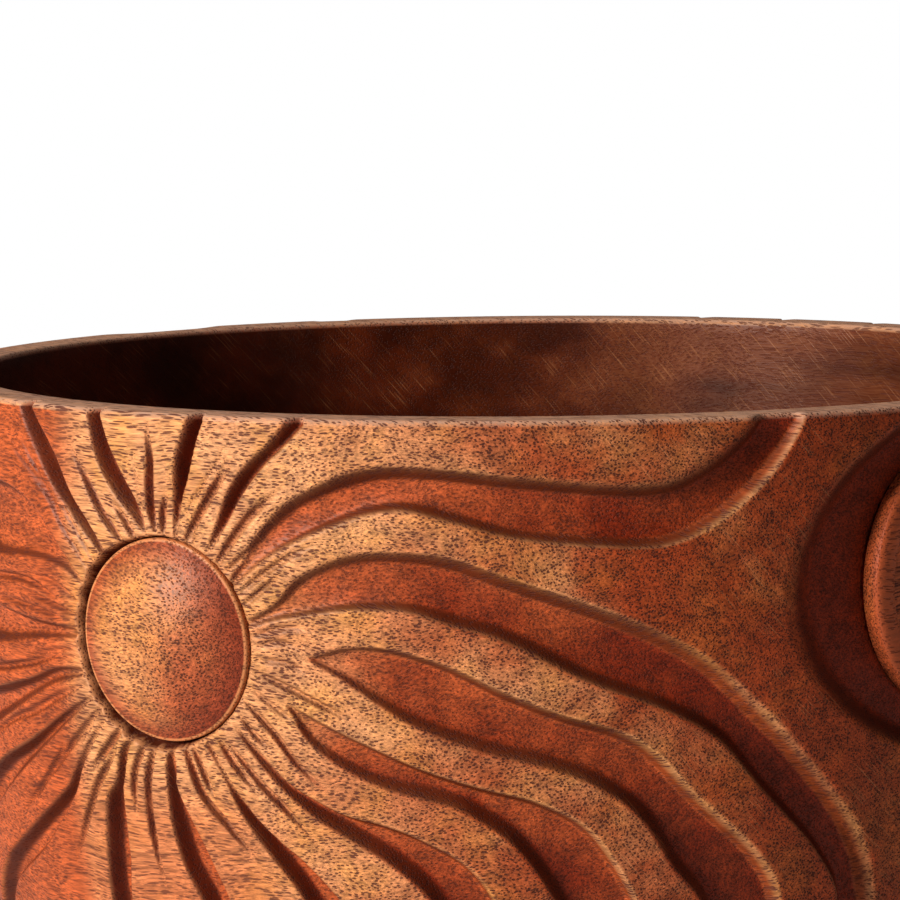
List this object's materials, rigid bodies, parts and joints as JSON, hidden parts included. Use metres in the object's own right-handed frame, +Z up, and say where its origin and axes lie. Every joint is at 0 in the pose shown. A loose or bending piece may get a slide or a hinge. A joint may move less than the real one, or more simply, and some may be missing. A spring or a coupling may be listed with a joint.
{
  "type": "carved wooden bowl",
  "caption": "Deep round wooden bowl with steep walls, carved outside with curving sun rays, domed sun discs and ringed medallion discs pegged into the wall, on a low foot ring with felt pads",
  "frame": {"origin": "on the table, on the bowl's axis, at the bottom centre of its box", "axes": "+Z up along the bowl's axis, the shortest side of its box; the front is -Y and the first sun is left of the front"},
  "size_m": [0.25, 0.25, 0.14],
  "materials": {
    "carved_wood": "oiled red-brown hardwood with open pores, satin on the ridges and matt in the cuts",
    "disc_wood": "the same hardwood, turned and sanded smooth, satin",
    "medallion_wood": "the same hardwood, turned and sanded, satin",
    "felt": "dark brown pressed felt, matt"
  },
  "bodies": {
    "root": {"bowl_body": "carved_wood", "sun_disc_front": "disc_wood", "sun_disc_back": "disc_wood", "medallion_right": "medallion_wood", "medallion_left": "medallion_wood", "felt_pad_front": "felt", "felt_pad_right": "felt", "felt_pad_back": "felt", "felt_pad_left": "felt"}
  },
  "joints": []
}
